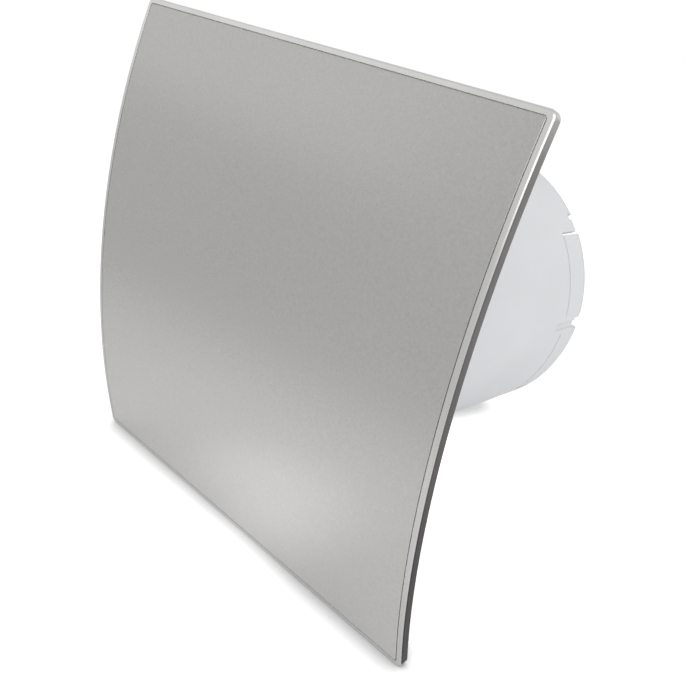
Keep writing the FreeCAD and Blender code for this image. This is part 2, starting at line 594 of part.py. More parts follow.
keep("thrust_washers", group([tube_y(0, 0, 3.2, SHAFT_R + 0.02, 16.3, 16.8),
                              tube_y(0, 0, 3.2, SHAFT_R + 0.02, 35.2, 35.7)]), 2)

# impeller: cup hub with twisted blades
HUB_Y0, HUB_Y1 = -14.0, 6.0
hub = cyl_y(0, 0, HUB_R, HUB_Y0, HUB_Y1)
hub = fillet_where(hub, 3.5, lambda e: abs(e.BoundBox.YMin - HUB_Y0) < 1e-6 and abs(e.BoundBox.YMax - HUB_Y0) < 1e-6)
hub = hub.cut(cyl_y(0, 0, HUB_R - 1.8, HUB_Y0 + 2.2, HUB_Y1 + 1))
inner = [hub, cyl_y(0, 0, 4.0, HUB_Y0 + 1.0, 2.0)]
for k in range(6):
    web = box(3.5, HUB_R - 1.0, HUB_Y0 + 1.5, -2.0, -0.6, 0.6)
    web.rotate(V(0, 0, 0), V(0, 1, 0), 60 * k)
    inner.append(web)
hub = fuse(inner)
shaft_hole = cyl_y(0, 0, SHAFT_R + 0.01, HUB_Y0 - 1, 3).cut(box(1.12, 2.2, HUB_Y0 - 2, 0.0, -3, 3))
hub = hub.cut(shaft_hole).cut(cyl_y(0, 0, 6.0, HUB_Y0 - 1, HUB_Y0 + 1.3))


def blade_section(r, chord, pitch, camber, thick, lead, y_mid):
    """Closed section across the blade at one radius: tangential Z, axial Y."""
    n = 8
    up, lo = [], []
    p = math.radians(pitch)
    for k in range(n + 1):
        s = k / n
        c = camber * 4 * s * (1 - s)
        hthk = 0.5 * thick * (0.45 + 0.55 * math.sin(math.pi * min(1, s * 0.9 + 0.12)))
        up.append((s - 0.5, c + hthk))
        lo.append((s - 0.5, c - hthk))
    pts = []
    for s, c in up + lo[::-1]:
        a = s * chord
        z = a * math.cos(p) - c * math.sin(p) + lead
        y = a * math.sin(p) + c * math.cos(p) + y_mid
        pts.append(V(r, y, z))
    return Part.makePolygon(pts + [pts[0]])


secs = [blade_section(15.9, 17.5, 50, 1.2, 2.0, 0.0, -3.0), blade_section(24.0, 20.5, 41, 1.7, 1.9, 0.6, -3.0),
        blade_section(32.0, 23.5, 34, 2.1, 1.8, 1.8, -3.0), blade_section(40.0, 26.5, 28.5, 2.3, 1.6, 3.4, -3.0),
        blade_section(46.5, 28.5, 25, 2.4, 1.5, 5.0, -3.0)]
blade = Part.makeLoft(secs, True, False)
blade = blade.common(cyl_y(0, 0, IMP_R, -20, 20))
blades = []
for k in range(BLADES):
    bl = blade.copy()
    bl.rotate(V(0, 0, 0), V(0, 1, 0), 360.0 * k / BLADES)
    blades.append(bl)
imp = hub.multiFuse(blades).removeSplitter()
keep("impeller", imp, 1)
print("impeller box", imp.BoundBox)
clip = tube_y(0, 0, 5.2, SHAFT_R + 0.02, HUB_Y0 + 0.7, HUB_Y0 + 1.3)
for k in range(3):
    t = box(-0.4, 0.4, HUB_Y0, HUB_Y0 + 2, 0, 3.2)
    t.rotate(V(0, 0, 0), V(0, 1, 0), 120 * k + 30)
    clip = clip.cut(t)
keep("impeller_clip", clip, 1)

# ------------------------------------------------------ back-draught shutter
ring = tube_y(0, 0, RING_RO, RING_RI, RING_Y0, RING_Y1)
ring = fillet_where(ring, 0.5, lambda e: abs(e.BoundBox.YMin - RING_Y1) < 1e-6)
web = cyl_y(0, 0, RING_RO - 0.5, 48.0, 49.4)
# openings behind each flap
def opening(x0, x1, z0, z1, r=42.6):
    return box(x0, x1, 47, 50, z0, z1).common(cyl_y(0, 0, r, 47, 50))


web = web.cut(opening(-31.0, 31.0, 8.4, 28.0))
web = web.cut(opening(-44, 44, -16.6, 3.2))
web = web.cut(opening(-44, 44, -44, -21.8))
# centre rib that keeps the bars straight
ring = fuse([ring, web, box(-0.9, 0.9, 47.0, 49.4, -42.9, 28.5),
             box(-31.5, 31.5, 46.6, 49.4, 28.0, 29.4), box(-43.0, 43.0, 46.6, 49.4, 5.0, 6.4),
             box(-38.5, 38.5, 46.6, 49.4, -20.0, -18.6)])
for z in PIVOT_Z:
    ring = ring.cut(cyl_x(PIVOT_Y, z, 1.15, -50, -28)).cut(cyl_x(PIVOT_Y, z, 1.15, 28, 50))
keep("shutter_ring", ring, 1)

for name, z, hwid, peg in (("louvre_top", PIVOT_Z[0], 31.0, 35.2), ("louvre_middle", PIVOT_Z[1], 43.0, 45.8),
                           ("louvre_bottom", PIVOT_Z[2], 37.6, 41.2)):
    ln = FLAP_LEN
    plate = box(-hwid if name == "louvre_top" else -43.6, hwid if name == "louvre_top" else 43.6,
                PIVOT_Y + 0.2, PIVOT_Y + 1.2, z - ln, z)
    bead = cyl_x(PIVOT_Y + 0.8, z - ln + 0.8, 0.8, -43.6 if name != "louvre_top" else -hwid,
                 43.6 if name != "louvre_top" else hwid)
    ribs = [box(x - 0.5, x + 0.5, PIVOT_Y + 1.0, PIVOT_Y + 1.9, z - ln + 0.8, z - 1.5) for x in (-15.0, 15.0)]
    f = fuse([plate, bead] + ribs)
    f.rotate(V(0, PIVOT_Y, z), V(1, 0, 0), FLAP_LEAN)
    if name != "louvre_top":
        f = f.common(cyl_y(0, 0, 43.6, 40, 70))
    rod = cyl_x(PIVOT_Y, z, 1.2, -hwid, hwid)
    pegs = [cyl_x(PIVOT_Y, z, 0.9, -peg, -hwid + 1), cyl_x(PIVOT_Y, z, 0.9, hwid - 1, peg)]
    f = fuse([f, rod] + pegs)
    if name != "louvre_top":
        # trim the plate beside the rod so that it clears the frame as it turns
        f = f.cut(box(hwid + 0.02, 46, PIVOT_Y + 0.95, 60, z - 1.2, z + 2)).cut(box(-46, -hwid - 0.02, PIVOT_Y + 0.95, 60, z - 1.2, z + 2))
    keep(name, f, 1)

bb = None
for s in made.values():
    if bb is None:
        bb = FreeCAD.BoundBox(s.BoundBox)
    else:
        bb.add(s.BoundBox)
print("nodes", len(made), "box", bb)
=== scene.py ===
import math
import random

import bpy
import bmesh
from mathutils import Matrix, Vector

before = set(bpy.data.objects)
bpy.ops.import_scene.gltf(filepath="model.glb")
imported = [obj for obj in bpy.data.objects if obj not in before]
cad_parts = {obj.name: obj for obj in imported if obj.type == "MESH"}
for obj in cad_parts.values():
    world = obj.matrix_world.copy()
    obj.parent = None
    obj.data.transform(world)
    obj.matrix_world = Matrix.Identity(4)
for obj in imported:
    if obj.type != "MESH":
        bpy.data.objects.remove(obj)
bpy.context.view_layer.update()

random.seed(7)
MM = 0.001

# ------------------------------------------------------------------ light rig
LIGHTS = {
    "world": 0.5933,
    "left_high": 0.2158,
    "left": 0.01,
    "front": 0.03,
    "right_high": 2.84,
    "right_top": 0.06,
    "rear_left": 0.5,
    "rear_high": 0.5,
    "floor_glow": 0.0178,
    "floor_pool": 0.0732,
    "floor_white": 0.52,
    "floor_painted_light_patch": 0.22,
}

# ----------------------------------------------------------------- materials


class Mat:
    """Small helper for node materials."""

    def __init__(self, name):
        self.m = bpy.data.materials.new(name)
        self.m.use_nodes = True
        self.nt = self.m.node_tree
        self.nt.nodes.clear()
        self.out = self.n("ShaderNodeOutputMaterial")
        self.bsdf = self.n("ShaderNodeBsdfPrincipled")
        self.link(self.bsdf.outputs[0], self.out.inputs["Surface"])
        self.tc = self.n("ShaderNodeTexCoord")

    def n(self, kind, **props):
        node = self.nt.nodes.new(kind)
        for k, v in props.items():
            setattr(node, k, v)
        return node

    def link(self, a, b):
        self.nt.links.new(a, b)

    def set(self, **vals):
        for k, v in vals.items():
            self.bsdf.inputs[k.replace("_", " ")].default_value = v
        return self

    def mapping(self, scale=(1, 1, 1), rot=(0, 0, 0)):
        mp = self.n("ShaderNodeMapping")
        mp.inputs["Scale"].default_value = scale
        mp.inputs["Rotation"].default_value = rot
        self.link(self.tc.outputs["Object"], mp.inputs["Vector"])
        return mp.outputs["Vector"]

    def noise(self, scale, detail=3.0, rough=0.5, vec=None, dist=0.0):
        t = self.n("ShaderNodeTexNoise")
        t.inputs["Scale"].default_value = scale
        t.inputs["Detail"].default_value = detail
        t.inputs["Roughness"].default_value = rough
        t.inputs["Distortion"].default_value = dist
        self.link(vec if vec is not None else self.tc.outputs["Object"], t.inputs["Vector"])
        return t.outputs["Fac"]

    def voronoi(self, scale, vec=None, feature="F1"):
        t = self.n("ShaderNodeTexVoronoi", feature=feature)
        t.inputs["Scale"].default_value = scale
        self.link(vec if vec is not None else self.tc.outputs["Object"], t.inputs["Vector"])
        return t.outputs["Distance"]

    def ramp(self, fac, stops):
        r = self.n("ShaderNodeValToRGB")
        e = r.color_ramp.elements
        while len(e) < len(stops):
            e.new(0.5)
        for i, (p, c) in enumerate(stops):
            e[i].position = p
            e[i].color = (c, c, c, 1) if isinstance(c, (int, float)) else (*c, 1)
        self.link(fac, r.inputs["Fac"])
        return r.outputs["Color"]

    def map_range(self, fac, a, b, c, d):
        r = self.n("ShaderNodeMapRange")
        r.inputs["From Min"].default_value = a
        r.inputs["From Max"].default_value = b
        r.inputs["To Min"].default_value = c
        r.inputs["To Max"].default_value = d
        self.link(fac, r.inputs["Value"])
        return r.outputs["Result"]

    def math(self, op, a, b=None):
        r = self.n("ShaderNodeMath", operation=op)
        for i, v in enumerate((a, b)):
            if v is None:
                continue
            if isinstance(v, (int, float)):
                r.inputs[i].default_value = v
            else:
                self.link(v, r.inputs[i])
        return r.outputs[0]

    def edges(self, radius_mm):
        """Rounded-edge normals and a mask that is 1 along edges and 0 on the flats."""
        if getattr(self, "_edge", None) is None:
            bv = self.n("ShaderNodeBevel")
            bv.samples = 4
            bv.inputs["Radius"].default_value = radius_mm * MM
            g = self.n("ShaderNodeNewGeometry")
            dot = self.n("ShaderNodeVectorMath", operation="DOT_PRODUCT")
            self.link(bv.outputs["Normal"], dot.inputs[0])
            self.link(g.outputs["Normal"], dot.inputs[1])
            self._bevel = bv.outputs["Normal"]
            self._edge = self.map_range(dot.outputs["Value"], 0.995, 0.86, 0.0, 1.0)
        return self._edge

    def bump(self, height, strength, distance, edge_mm=0.0):
        b = self.n("ShaderNodeBump")
        b.inputs["Strength"].default_value = strength
        b.inputs["Distance"].default_value = distance
        self.link(height, b.inputs["Height"])
        if edge_mm:
            self.edges(edge_mm)
            self.link(self._bevel, b.inputs["Normal"])
        self.link(b.outputs["Normal"], self.bsdf.inputs["Normal"])
        return b

    def blend(self, fac, a, b):
        """Colour mix: a where fac is 0, b where fac is 1."""
        mx = self.n("ShaderNodeMix", data_type="RGBA")
        self.link(fac, mx.inputs[0])
        for sock, v in ((mx.inputs[6], a), (mx.inputs[7], b)):
            if isinstance(v, tuple):
                sock.default_value = (*v, 1)
            else:
                self.link(v, sock)
        return mx.outputs[2]


def steel_sheet():
    """Blasted satin stainless sheet: fine isotropic mottle, soft gloss variation."""
    m = Mat("satin_stainless")
    m.set(Metallic=1.0)
    fine = m.noise(4200.0, 2.0, 0.6)
    mid = m.noise(1100.0, 3.0, 0.65)
    broad = m.noise(26.0, 2.0, 0.5)
    mix = m.math("ADD", m.math("MULTIPLY", fine, 0.55), m.math("MULTIPLY", mid, 0.45))
    col = m.ramp(mix, [(0.28, (0.545, 0.541, 0.526)), (0.72, (0.690, 0.684, 0.668))])
    m.link(m.blend(m.edges(0.35), col, (0.69, 0.685, 0.67)), m.bsdf.inputs["Base Color"])
    r = m.math("ADD", m.map_range(mix, 0.3, 0.7, 0.26, 0.35), m.map_range(broad, 0.3, 0.7, -0.014, 0.014))
    m.link(r, m.bsdf.inputs["Roughness"])
    m.bump(mix, 0.16, 0.00002, 0.35)
    return m.m


def silver(name, low, high, rough=0.18, edge=1.08, stops=None):
    """Metallised moulding, with a painted reflection: the base colour runs from the darker colour low on the panel to
    the lighter one high on it.
    """
    m = Mat(name)
    m.set(Metallic=1.0)
    n1 = m.noise(900.0, 3.0, 0.6)
    n2 = m.noise(55.0, 3.0, 0.55)
    # painted reflection: colour ramp by height, darker at the bottom of the panel and lighter at the top
    xyz = m.n("ShaderNodeSeparateXYZ")
    m.link(m.tc.outputs["Object"], xyz.inputs[0])
    h = m.map_range(xyz.outputs["Z"], -0.080, 0.078, 0.0, 1.0)
    col = m.ramp(h, stops) if stops else m.blend(h, low, high)
    col = m.blend(m.map_range(n2, 0.3, 0.7, 0.0, 0.12), col, tuple(v * 0.7 for v in low))
    m.link(m.blend(m.math("MULTIPLY", m.edges(0.3), 0.6), col, tuple(min(1.0, v * edge) for v in high)),
           m.bsdf.inputs["Base Color"])
    m.link(m.math("ADD", m.map_range(n1, 0.3, 0.7, rough - 0.03, rough + 0.04), m.map_range(n2, 0.3, 0.7, -0.02, 0.02)),
           m.bsdf.inputs["Roughness"])
    m.bump(n2, 0.07, 0.00005, 0.3)
    return m.m


def plastic(name, color, rough=0.42, grain=1600.0, grain_h=0.2, var=0.02, sss=0.0, wear=None, edge_mm=0.35, dist=0.00002):
    """Injection moulding: spark-eroded grain, faint flow shading, burnished edges."""
    m = Mat(name)
    c0 = tuple(max(0.0, c * (1 - var)) for c in color)
    c1 = tuple(min(1.0, c * (1 + var)) for c in color)
    n1 = m.noise(grain, 2.0, 0.55)
    n2 = m.noise(38.0, 3.0, 0.5)
    n3 = m.noise(240.0, 3.0, 0.6)
    col = m.ramp(n2, [(0.3, c0), (0.7, c1)])
    worn = wear or tuple(min(1.0, c * 1.06 + 0.012) for c in color)
    mask = m.math("MULTIPLY", m.edges(edge_mm), m.map_range(n3, 0.35, 0.6, 0.35, 1.0))
    m.link(m.blend(mask, col, worn), m.bsdf.inputs["Base Color"])
    r = m.math("ADD", m.map_range(n1, 0.25, 0.75, rough - 0.05, rough + 0.05), m.map_range(n2, 0.3, 0.7, -0.02, 0.02))
    m.link(m.math("SUBTRACT", r, m.math("MULTIPLY", mask, 0.08)), m.bsdf.inputs["Roughness"])
    if sss:
        m.bsdf.inputs["Subsurface Weight"].default_value = sss
        m.bsdf.inputs["Subsurface Radius"].default_value = (1.0, 0.9, 0.8)
        m.bsdf.inputs["Subsurface Scale"].default_value = 0.0015
    h = m.math("ADD", m.math("MULTIPLY", n1, 0.7), m.math("MULTIPLY", n3, 0.3))
    m.bump(h, grain_h, dist, edge_mm)
    return m.m


def metal(name, color, rough=0.3, brushed=None, var=0.05, scale=500.0, edge_mm=0.2, bump=0.15):
    m = Mat(name)
    m.set(Metallic=1.0)
    vec = m.mapping(scale=brushed) if brushed else None
    n1 = m.noise(scale, 3.0, 0.6, vec)
    n2 = m.noise(70.0, 3.0, 0.6)
    c0 = tuple(max(0.0, c * (1 - var)) for c in color)
    c1 = tuple(min(1.0, c * (1 + var)) for c in color)
    col = m.ramp(n1, [(0.3, c0), (0.7, c1)])
    m.link(m.blend(m.edges(edge_mm), col, tuple(min(1.0, c * 1.18 + 0.02) for c in color)), m.bsdf.inputs["Base Color"])
    m.link(m.math("ADD", m.map_range(n1, 0.25, 0.75, rough - 0.07, rough + 0.08), m.map_range(n2, 0.3, 0.7, -0.04, 0.04)),
           m.bsdf.inputs["Roughness"])
    m.bump(n1, bump, 0.00003, edge_mm)
    return m.m


def winding():
    """Round enamelled wire, layered side by side along the bobbin."""
    m = Mat("enamelled_winding")
    m.set(Metallic=0.85)
    w = m.n("ShaderNodeTexWave", wave_type="BANDS", bands_direction="Z", wave_profile="SIN")
    w.inputs["Scale"].default_value = 620.0
    w.inputs["Distortion"].default_value = 0.8
    w.inputs["Detail"].default_value = 1.0
    m.link(m.tc.outputs["Object"], w.inputs["Vector"])
    n2 = m.noise(300.0, 3.0, 0.6)
    base = m.ramp(w.outputs["Fac"], [(0.0, (0.16, 0.05, 0.02)), (0.6, (0.55, 0.22, 0.09)), (1.0, (0.68, 0.30, 0.13))])
    m.link(m.blend(m.map_range(n2, 0.45, 0.75, 0.0, 0.35), base, (0.36, 0.13, 0.05)), m.bsdf.inputs["Base Color"])
    m.link(m.map_range(n2, 0.3, 0.7, 0.2, 0.36), m.bsdf.inputs["Roughness"])
    m.bump(w.outputs["Fac"], 0.6, 0.00012)
    return m.m


def laminations(axis="Y"):
    """Stack of stamped electrical-steel sheets with a varnish film."""
    m = Mat("laminations_" + axis.lower())
    m.set(Metallic=0.75)
    w = m.n("ShaderNodeTexWave", wave_type="BANDS", bands_direction=axis, wave_profile="SAW")
    w.inputs["Scale"].default_value = 310.0
    w.inputs["Distortion"].default_value = 0.15
    m.link(m.tc.outputs["Object"], w.inputs["Vector"])
    n1 = m.noise(420.0, 3.0, 0.6)
    base = m.ramp(w.outputs["Fac"], [(0.0, (0.07, 0.072, 0.08)), (0.3, (0.20, 0.205, 0.215)), (1.0, (0.25, 0.25, 0.26))])
    m.link(m.blend(m.map_range(n1, 0.5, 0.75, 0.0, 0.5), base, (0.16, 0.12, 0.09)), m.bsdf.inputs["Base Color"])
    m.link(m.map_range(n1, 0.3, 0.7, 0.36, 0.52), m.bsdf.inputs["Roughness"])
    m.bump(w.outputs["Fac"], 0.5, 0.00008)
    return m.m


def sleeve():
    """Woven glass sleeving: crossed diagonal threads."""
    m = Mat("woven_sleeve")
    h = None
    for rot in (0.7, -0.7):
        w = m.n("ShaderNodeTexWave", wave_type="BANDS", bands_direction="X", wave_profile="SIN")
        w.inputs["Scale"].default_value = 560.0
        m.link(m.mapping(rot=(0.0, rot, rot)), w.inputs["Vector"])
        h = w.outputs["Fac"] if h is None else m.math("MAXIMUM", h, w.outputs["Fac"])
    n2 = m.noise(500.0, 3.0, 0.6)
    base = m.ramp(h, [(0.2, (0.40, 0.36, 0.26)), (0.8, (0.70, 0.66, 0.55))])
    m.link(m.blend(m.map_range(n2, 0.4, 0.7, 0.0, 0.3), base, (0.48, 0.43, 0.33)), m.bsdf.inputs["Base Color"])
    m.link(m.map_range(n2, 0.3, 0.7, 0.6, 0.8), m.bsdf.inputs["Roughness"])
    m.bump(h, 0.5, 0.00010)
    return m.m


MATS = {
    "steel": steel_sheet(),
    # painted reflection: the front strip's silver is lighter high on the panel than low on it
    "rim": silver("silver_rim", (0.62, 0.615, 0.61), (0.90, 0.895, 0.885), 0.29),
    # painted shade and reflection: a dark copy of the rim silver for the edge all round, its stops running from dark at
    # the bottom to bright at the top corner
    "rim_edge_painted_reflection": silver("silver_rim_side_painted_reflection", (0.085, 0.078, 0.076), (0.24, 0.232, 0.226), 0.30, edge=1.6,
                       stops=[(0.0, (0.062, 0.057, 0.056)), (0.25, (0.070, 0.064, 0.063)), (0.38, (0.115, 0.106, 0.104)),
                              (0.57, (0.160, 0.152, 0.149)), (0.76, (0.226, 0.218, 0.215)), (0.90, (0.300, 0.290, 0.286)),
                              (0.94, (0.370, 0.358, 0.352)), (0.99, (0.640, 0.622, 0.612))]),
    "carrier_back": plastic("carrier_back", (0.50, 0.505, 0.515), 0.46),
    "white": plastic("white_moulding", (0.80, 0.81, 0.83), 0.40, sss=0.08),
    "white_inner": plastic("white_shutter", (0.78, 0.79, 0.81), 0.38, sss=0.08),
    "cover": plastic("cover_grey", (0.70, 0.71, 0.73), 0.42),
    "fan": plastic("impeller_grey", (0.13, 0.15, 0.17), 0.34, wear=(0.24, 0.26, 0.28)),
    "black": plastic("black_nylon", (0.018, 0.018, 0.02), 0.45, var=0.12, wear=(0.05, 0.05, 0.052)),
    "rubber": plastic("grommet_rubber", (0.022, 0.022, 0.022), 0.62, grain=900.0, var=0.15, wear=(0.055, 0.055, 0.055)),
    "terminal": plastic("terminal_ivory", (0.68, 0.64, 0.54), 0.40, var=0.03, edge_mm=0.2),
    "sleeve": sleeve(),
    "brown": plastic("brown_insulation", (0.13, 0.05, 0.022), 0.40, var=0.08, grain=900.0, edge_mm=0.15),
    "blue": plastic("blue_insulation", (0.02, 0.08, 0.30), 0.40, var=0.08, grain=900.0, edge_mm=0.15),
    "nylon": plastic("natural_nylon", (0.72, 0.68, 0.55), 0.4, edge_mm=0.1),
    "adhesive": plastic("adhesive_film", (0.10, 0.10, 0.105), 0.6, grain=600.0, edge_mm=0.1),
    "brass": metal("brass", (0.78, 0.58, 0.26), 0.28),
    "bronze": metal("sintered_bronze", (0.50, 0.33, 0.16), 0.5, scale=1800.0, var=0.15),
    "copper": metal("copper", (0.78, 0.42, 0.26), 0.25),
    "winding": winding(),
    "screw": metal("zinc_screw", (0.68, 0.70, 0.72), 0.28, var=0.08, scale=900.0),
    "shaft": metal("ground_shaft", (0.66, 0.66, 0.67), 0.2, brushed=(1.0, 30.0, 1.0), scale=60.0),
    "lamination": laminations("Y"),
    "cast": metal("cast_alloy", (0.56, 0.57, 0.58), 0.44, scale=1200.0, var=0.09, edge_mm=0.3, bump=0.35),
}

FINISH = {
    "steel_face": "steel", "panel_carrier": "rim", "adhesive_film": "adhesive",
    "housing": "white", "spigot": "white", "motor_carrier": "white_inner",
    "terminal_block": "terminal", "terminal_clamps": "brass", "terminal_screws": "screw",
    "terminal_cover": "cover", "terminal_cover_screw": "screw", "cord_clamp_bar": "black",
    "cord_clamp_screws": "screw", "cable_grommet": "rubber", "stator_core": "lamination",
    "shading_rings": "copper", "coil_bobbin": "black", "coil_winding": "winding",
    "thermal_fuse": "sleeve", "front_bearing_bracket": "cast", "rear_bearing_bracket": "cast",
    "front_bearing_bush": "bronze", "rear_bearing_bush": "bronze", "motor_screws": "screw",
    "lead_live": "brown", "lead_neutral": "blue", "rotor_core": "lamination", "rotor_cage": "cast",
    "rotor_shaft": "shaft", "thrust_washers": "nylon", "impeller": "fan", "impeller_clip": "screw",
    "shutter_ring": "white_inner", "louvre_top": "white_inner", "louvre_middle": "white_inner",
    "louvre_bottom": "white_inner",
}
for name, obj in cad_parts.items():
    obj.data.materials.clear()
    obj.data.materials.append(MATS[FINISH[name]])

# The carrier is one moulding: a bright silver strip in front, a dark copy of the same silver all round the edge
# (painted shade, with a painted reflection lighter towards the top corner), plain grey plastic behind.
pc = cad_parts["panel_carrier"].data
pc.materials.append(MATS["rim_edge_painted_reflection"])
pc.materials.append(MATS["carrier_back"])
PR = (80.2 ** 2 + 11.5 ** 2) / (2 * 11.5)
PYC = -27.6 - 11.5 + PR
ARC_MAX = max(abs(math.atan2(v.co.z / MM + 1.0, PYC - v.co.y / MM)) for v in pc.vertices) * PR
for poly in pc.polygons:
    c = poly.center / MM
    s_ = math.hypot(c.y - PYC, c.z + 1.0)
    arc = abs(math.atan2(c.z + 1.0, PYC - c.y)) * PR
    dx, dz = max(0.0, abs(c.x) - 76.6), max(0.0, arc - (ARC_MAX - 2.4))
    outer = math.hypot(dx, dz) > 2.1
    out_face = math.hypot(poly.normal.x, 0.0) > 0.80 if dz == 0.0 else math.hypot(dx, dz) > 2.33
    if s_ > PR - 0.75 and not (outer and out_face):
        poly.material_index = 0
    elif outer:
        poly.material_index = 1
    else:
        poly.material_index = 2

# --------------------------------------------------------------------- camera
cam_data = bpy.data.cameras.new("camera")
cam = bpy.data.objects.new("camera", cam_data)
bpy.context.scene.collection.objects.link(cam)
cam_data.sensor_width = 36.0
cam_data.sensor_fit = "HORIZONTAL"
cam_data.lens = 836.1438 / 685.0 * 36.0
cam_data.clip_start = 0.01
right = Vector((0.6916141341302067, 0.6983434298591966, 0.18435385388924683))
down = Vector((0.40249395466198884, -0.16070860752958893, -0.9012055037151367))
fwd = Vector((-0.5997236913211593, 0.6974877758343825, -0.3922273532400931))
pos = Vector((0.17438643374, -0.16528271573 - 0.0276, 0.09694881494 - 0.001))
cam.matrix_world = Matrix(((right.x, -down.x, -fwd.x, pos.x),
                           (right.y, -down.y, -fwd.y, pos.y),
                           (right.z, -down.z, -fwd.z, pos.z),
                           (0, 0, 0, 1)))
bpy.context.scene.camera = cam

# ---------------------------------------------------------------------- floor
# The fan lies on its spigot's rim and the panel's lower edge, so the surface
# it lies on is tilted in the row frame.
A = Vector((0.0, -0.0276, -0.0811))
B = Vector((0.0, 0.0778, -0.0490))
slope = (B - A).normalized()
normal = Vector((1, 0, 0)).cross(slope).normalized()
centre = A.lerp(B, 0.3) - normal * 0.0002
RF = 0.60
bm = bmesh.new()
rings, segs = 24, 96
vs = [bm.verts.new((0, 0, 0))]
for i in range(1, rings + 1):
    r = RF * (i / rings)
    for j in range(segs):
        a = 2 * math.pi * j / segs
        vs.append(bm.verts.new((r * math.cos(a), r * math.sin(a), 0)))
for j in range(segs):
    bm.faces.new((vs[0], vs[1 + j], vs[1 + (j + 1) % segs]))
for i in range(1, rings):
    for j in range(segs):
        a0 = 1 + (i - 1) * segs
        a1 = 1 + i * segs
        bm.faces.new((vs[a0 + j], vs[a1 + j], vs[a1 + (j + 1) % segs], vs[a0 + (j + 1) % segs]))
fm = bpy.data.meshes.new("floor")
bm.to_mesh(fm)
bm.free()
floor = bpy.data.objects.new("floor", fm)
bpy.context.scene.collection.objects.link(floor)
X = Vector((1, 0, 0))
floor.matrix_world = Matrix(((X.x, slope.x, normal.x, centre.x), (X.y, slope.y, normal.y, centre.y),
                             (X.z, slope.z, normal.z, centre.z), (0, 0, 0, 1)))
fmat = bpy.data.materials.new("pale_floor")
fmat.use_nodes = True
nt = fmat.node_tree
nt.nodes.clear()
out = nt.nodes.new("ShaderNodeOutputMaterial")
dif = nt.nodes.new("ShaderNodeBsdfDiffuse")
dif.inputs["Color"].default_value = (0.93, 0.93, 0.93, 1)
emi = nt.nodes.new("ShaderNodeEmission")
emi.inputs["Strength"].default_value = LIGHTS["floor_glow"]
add = nt.nodes.new("ShaderNodeAddShader")
tr = nt.nodes.new("ShaderNodeBsdfTransparent")
mix = nt.nodes.new("ShaderNodeMixShader")
tc = nt.nodes.new("ShaderNodeTexCoord")
ln = nt.nodes.new("ShaderNodeVectorMath")
ln.operation = "LENGTH"
mr = nt.nodes.new("ShaderNodeMapRange")
mr.interpolation_type = "SMOOTHSTEP"
mr.inputs["From Min"].default_value = 0.17
mr.inputs["From Max"].default_value = 0.46
geo = nt.nodes.new("ShaderNodeNewGeometry")
mx = nt.nodes.new("ShaderNodeMath")
mx.operation = "MAXIMUM"
nt.links.new(tc.outputs["Object"], ln.inputs[0])
nt.links.new(ln.outputs["Value"], mr.inputs["Value"])
nt.links.new(mr.outputs["Result"], mx.inputs[0])
nt.links.new(geo.outputs["Backfacing"], mx.inputs[1])
# painted contact shade: the floor colour, its glow and its white are darkened where something stands close above the
# surface
ao = nt.nodes.new("ShaderNodeAmbientOcclusion")
ao.samples = 8
ao.inputs["Distance"].default_value = 0.0085
painted_contact_shade = nt.nodes.new("ShaderNodeMapRange")
painted_contact_shade.inputs["From Min"].default_value = 0.42
painted_contact_shade.inputs["From Max"].default_value = 0.98
painted_contact_shade.inputs["To Min"].default_value = 0.34
painted_contact_shade.inputs["To Max"].default_value = 1.0
lpf = nt.nodes.new("ShaderNodeLightPath")
seen = nt.nodes.new("ShaderNodeMapRange")
seen.inputs["To Min"].default_value = 1.0
seen.inputs["To Max"].default_value = 0.0
nt.links.new(lpf.outputs["Is Camera Ray"], seen.inputs["Value"])
aoc = nt.nodes.new("ShaderNodeMath")
aoc.operation = "MAXIMUM"
nt.links.new(ao.outputs["AO"], aoc.inputs[0])
nt.links.new(seen.outputs["Result"], aoc.inputs[1])
nt.links.new(aoc.outputs[0], painted_contact_shade.inputs["Value"])
shade = nt.nodes.new("ShaderNodeMix")
shade.data_type = "RGBA"
shade.inputs[6].default_value = (0.0, 0.0, 0.0, 1)
shade.inputs[7].default_value = (0.95, 0.95, 0.95, 1)
nt.links.new(painted_contact_shade.outputs["Result"], shade.inputs[0])
nt.links.new(shade.outputs[2], dif.inputs["Color"])
emis = nt.nodes.new("ShaderNodeMath")
emis.operation = "MULTIPLY"
emis.name = "floor_glow"
emis.inputs[1].default_value = LIGHTS["floor_glow"]
nt.links.new(painted_contact_shade.outputs["Result"], emis.inputs[0])
# soft pools of light on the surface, which the bowed sheet mirrors
POOLS = [((-0.05, -0.09), 0.13, LIGHTS["floor_pool"]), ((-0.01, -0.07), 0.06, 0.2373), ((0.012, -0.045), 0.035, 0.10)]
total = emis.outputs[0]
for k, (at, radius, strength) in enumerate(POOLS):
    pool_d = nt.nodes.new("ShaderNodeVectorMath")
    pool_d.operation = "DISTANCE"
    pool_d.inputs[1].default_value = (*at, 0.0)
    pool = nt.nodes.new("ShaderNodeMapRange")
    pool.name = "pool_%d" % k
    pool.interpolation_type = "SMOOTHERSTEP"
    pool.inputs["From Min"].default_value = 0.0
    pool.inputs["From Max"].default_value = radius
    pool.inputs["To Min"].default_value = strength
    pool.inputs["To Max"].default_value = 0.0
    nt.links.new(tc.outputs["Object"], pool_d.inputs[0])
    nt.links.new(pool_d.outputs["Value"], pool.inputs["Value"])
    both = nt.nodes.new("ShaderNodeMath")
    nt.links.new(total, both.inputs[0])
    nt.links.new(pool.outputs["Result"], both.inputs[1])
    total = both.outputs[0]
nt.links.new(total, emi.inputs["Strength"])
